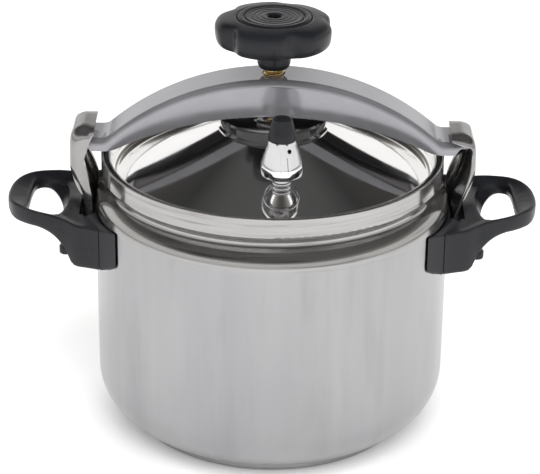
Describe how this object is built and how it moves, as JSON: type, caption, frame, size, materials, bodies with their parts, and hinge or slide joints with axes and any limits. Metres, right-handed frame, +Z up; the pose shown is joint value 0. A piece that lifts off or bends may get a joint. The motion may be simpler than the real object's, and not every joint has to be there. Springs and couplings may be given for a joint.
{
  "type": "pressure canner",
  "caption": "Stainless pressure canner with a conical lid, a screw-down clamp bar under two hooks, a weighted regulating valve and looped side handles.",
  "frame": {"origin": "centre of the base disc's underside", "axes": "+Z up along the pot's axis, +X through the right-hand handle, -Y towards the regulating valve"},
  "size_m": [0.359, 0.24, 0.288],
  "materials": {
    "satin_steel": "satin polished stainless steel",
    "mirror_steel": "mirror polished stainless steel",
    "hook_steel": "polished pressed stainless steel",
    "bar_steel": "polished pressed steel",
    "plated_metal": "bright nickel-chrome plate",
    "zinc_steel": "plain zinc-plated steel",
    "aluminium": "plain",
    "brass": "turned brass",
    "bakelite": "satin black phenolic moulding",
    "seal_rubber": "dark silicone rubber"
  },
  "bodies": {
    "pot": {"pot_body": "satin_steel", "base_cap": "satin_steel", "base_core": "aluminium", "left_hook": "hook_steel", "right_hook": "hook_steel", "left_hook_pad": "hook_steel", "right_hook_pad": "hook_steel", "left_handle": "bakelite", "right_handle": "bakelite", "left_handle_screws": "zinc_steel", "right_handle_screws": "zinc_steel"},
    "lid": {"lid_shell": "mirror_steel", "lid_gasket": "seal_rubber", "pressure_boss": "mirror_steel", "valve_stem": "plated_metal", "valve_nut": "plated_metal", "valve_washer": "seal_rubber", "relief_body": "plated_metal", "relief_nut": "plated_metal", "relief_washer": "seal_rubber", "relief_plug": "seal_rubber"},
    "regulator": {"valve_weight": "plated_metal", "valve_pin": "zinc_steel", "valve_cap": "bakelite"},
    "bar": {"clamp_bar": "bar_steel", "bar_bush": "brass"},
    "foot": {"pressure_foot": "zinc_steel", "foot_clip": "zinc_steel"},
    "screw": {"spindle": "brass", "knob": "bakelite", "knob_cap": "bakelite", "knob_nut": "zinc_steel", "knob_washer": "zinc_steel"}
  },
  "joints": [
    {"name": "bar_slide", "type": "slide", "parent": "pot", "child": "bar", "axis": [0, 1, 0], "range_m": [0, 0.35]},
    {"name": "lid_lift", "type": "slide", "parent": "pot", "child": "lid", "axis": [0, 0, 1], "range_m": [0, 0.022]},
    {"name": "screw_feed", "type": "slide", "parent": "bar", "child": "foot", "axis": [0, 0, 1], "range_m": [-0.0032, 0.0064]},
    {"name": "knob_turn", "type": "hinge", "parent": "foot", "child": "screw", "pos_m": [0, 0, 0.27], "axis": [0, 0, 1], "range_deg": [-360, 720]},
    {"name": "valve_lift", "type": "slide", "parent": "lid", "child": "regulator", "axis": [0, 0, 1], "range_m": [0, 0.012]}
  ],
  "couplings": [
    {"joint": "lid_lift", "follows": "bar_slide", "ratio": 0.06},
    {"joint": "screw_feed", "follows": "knob_turn", "m_per_rad": 0.00047746}
  ]
}
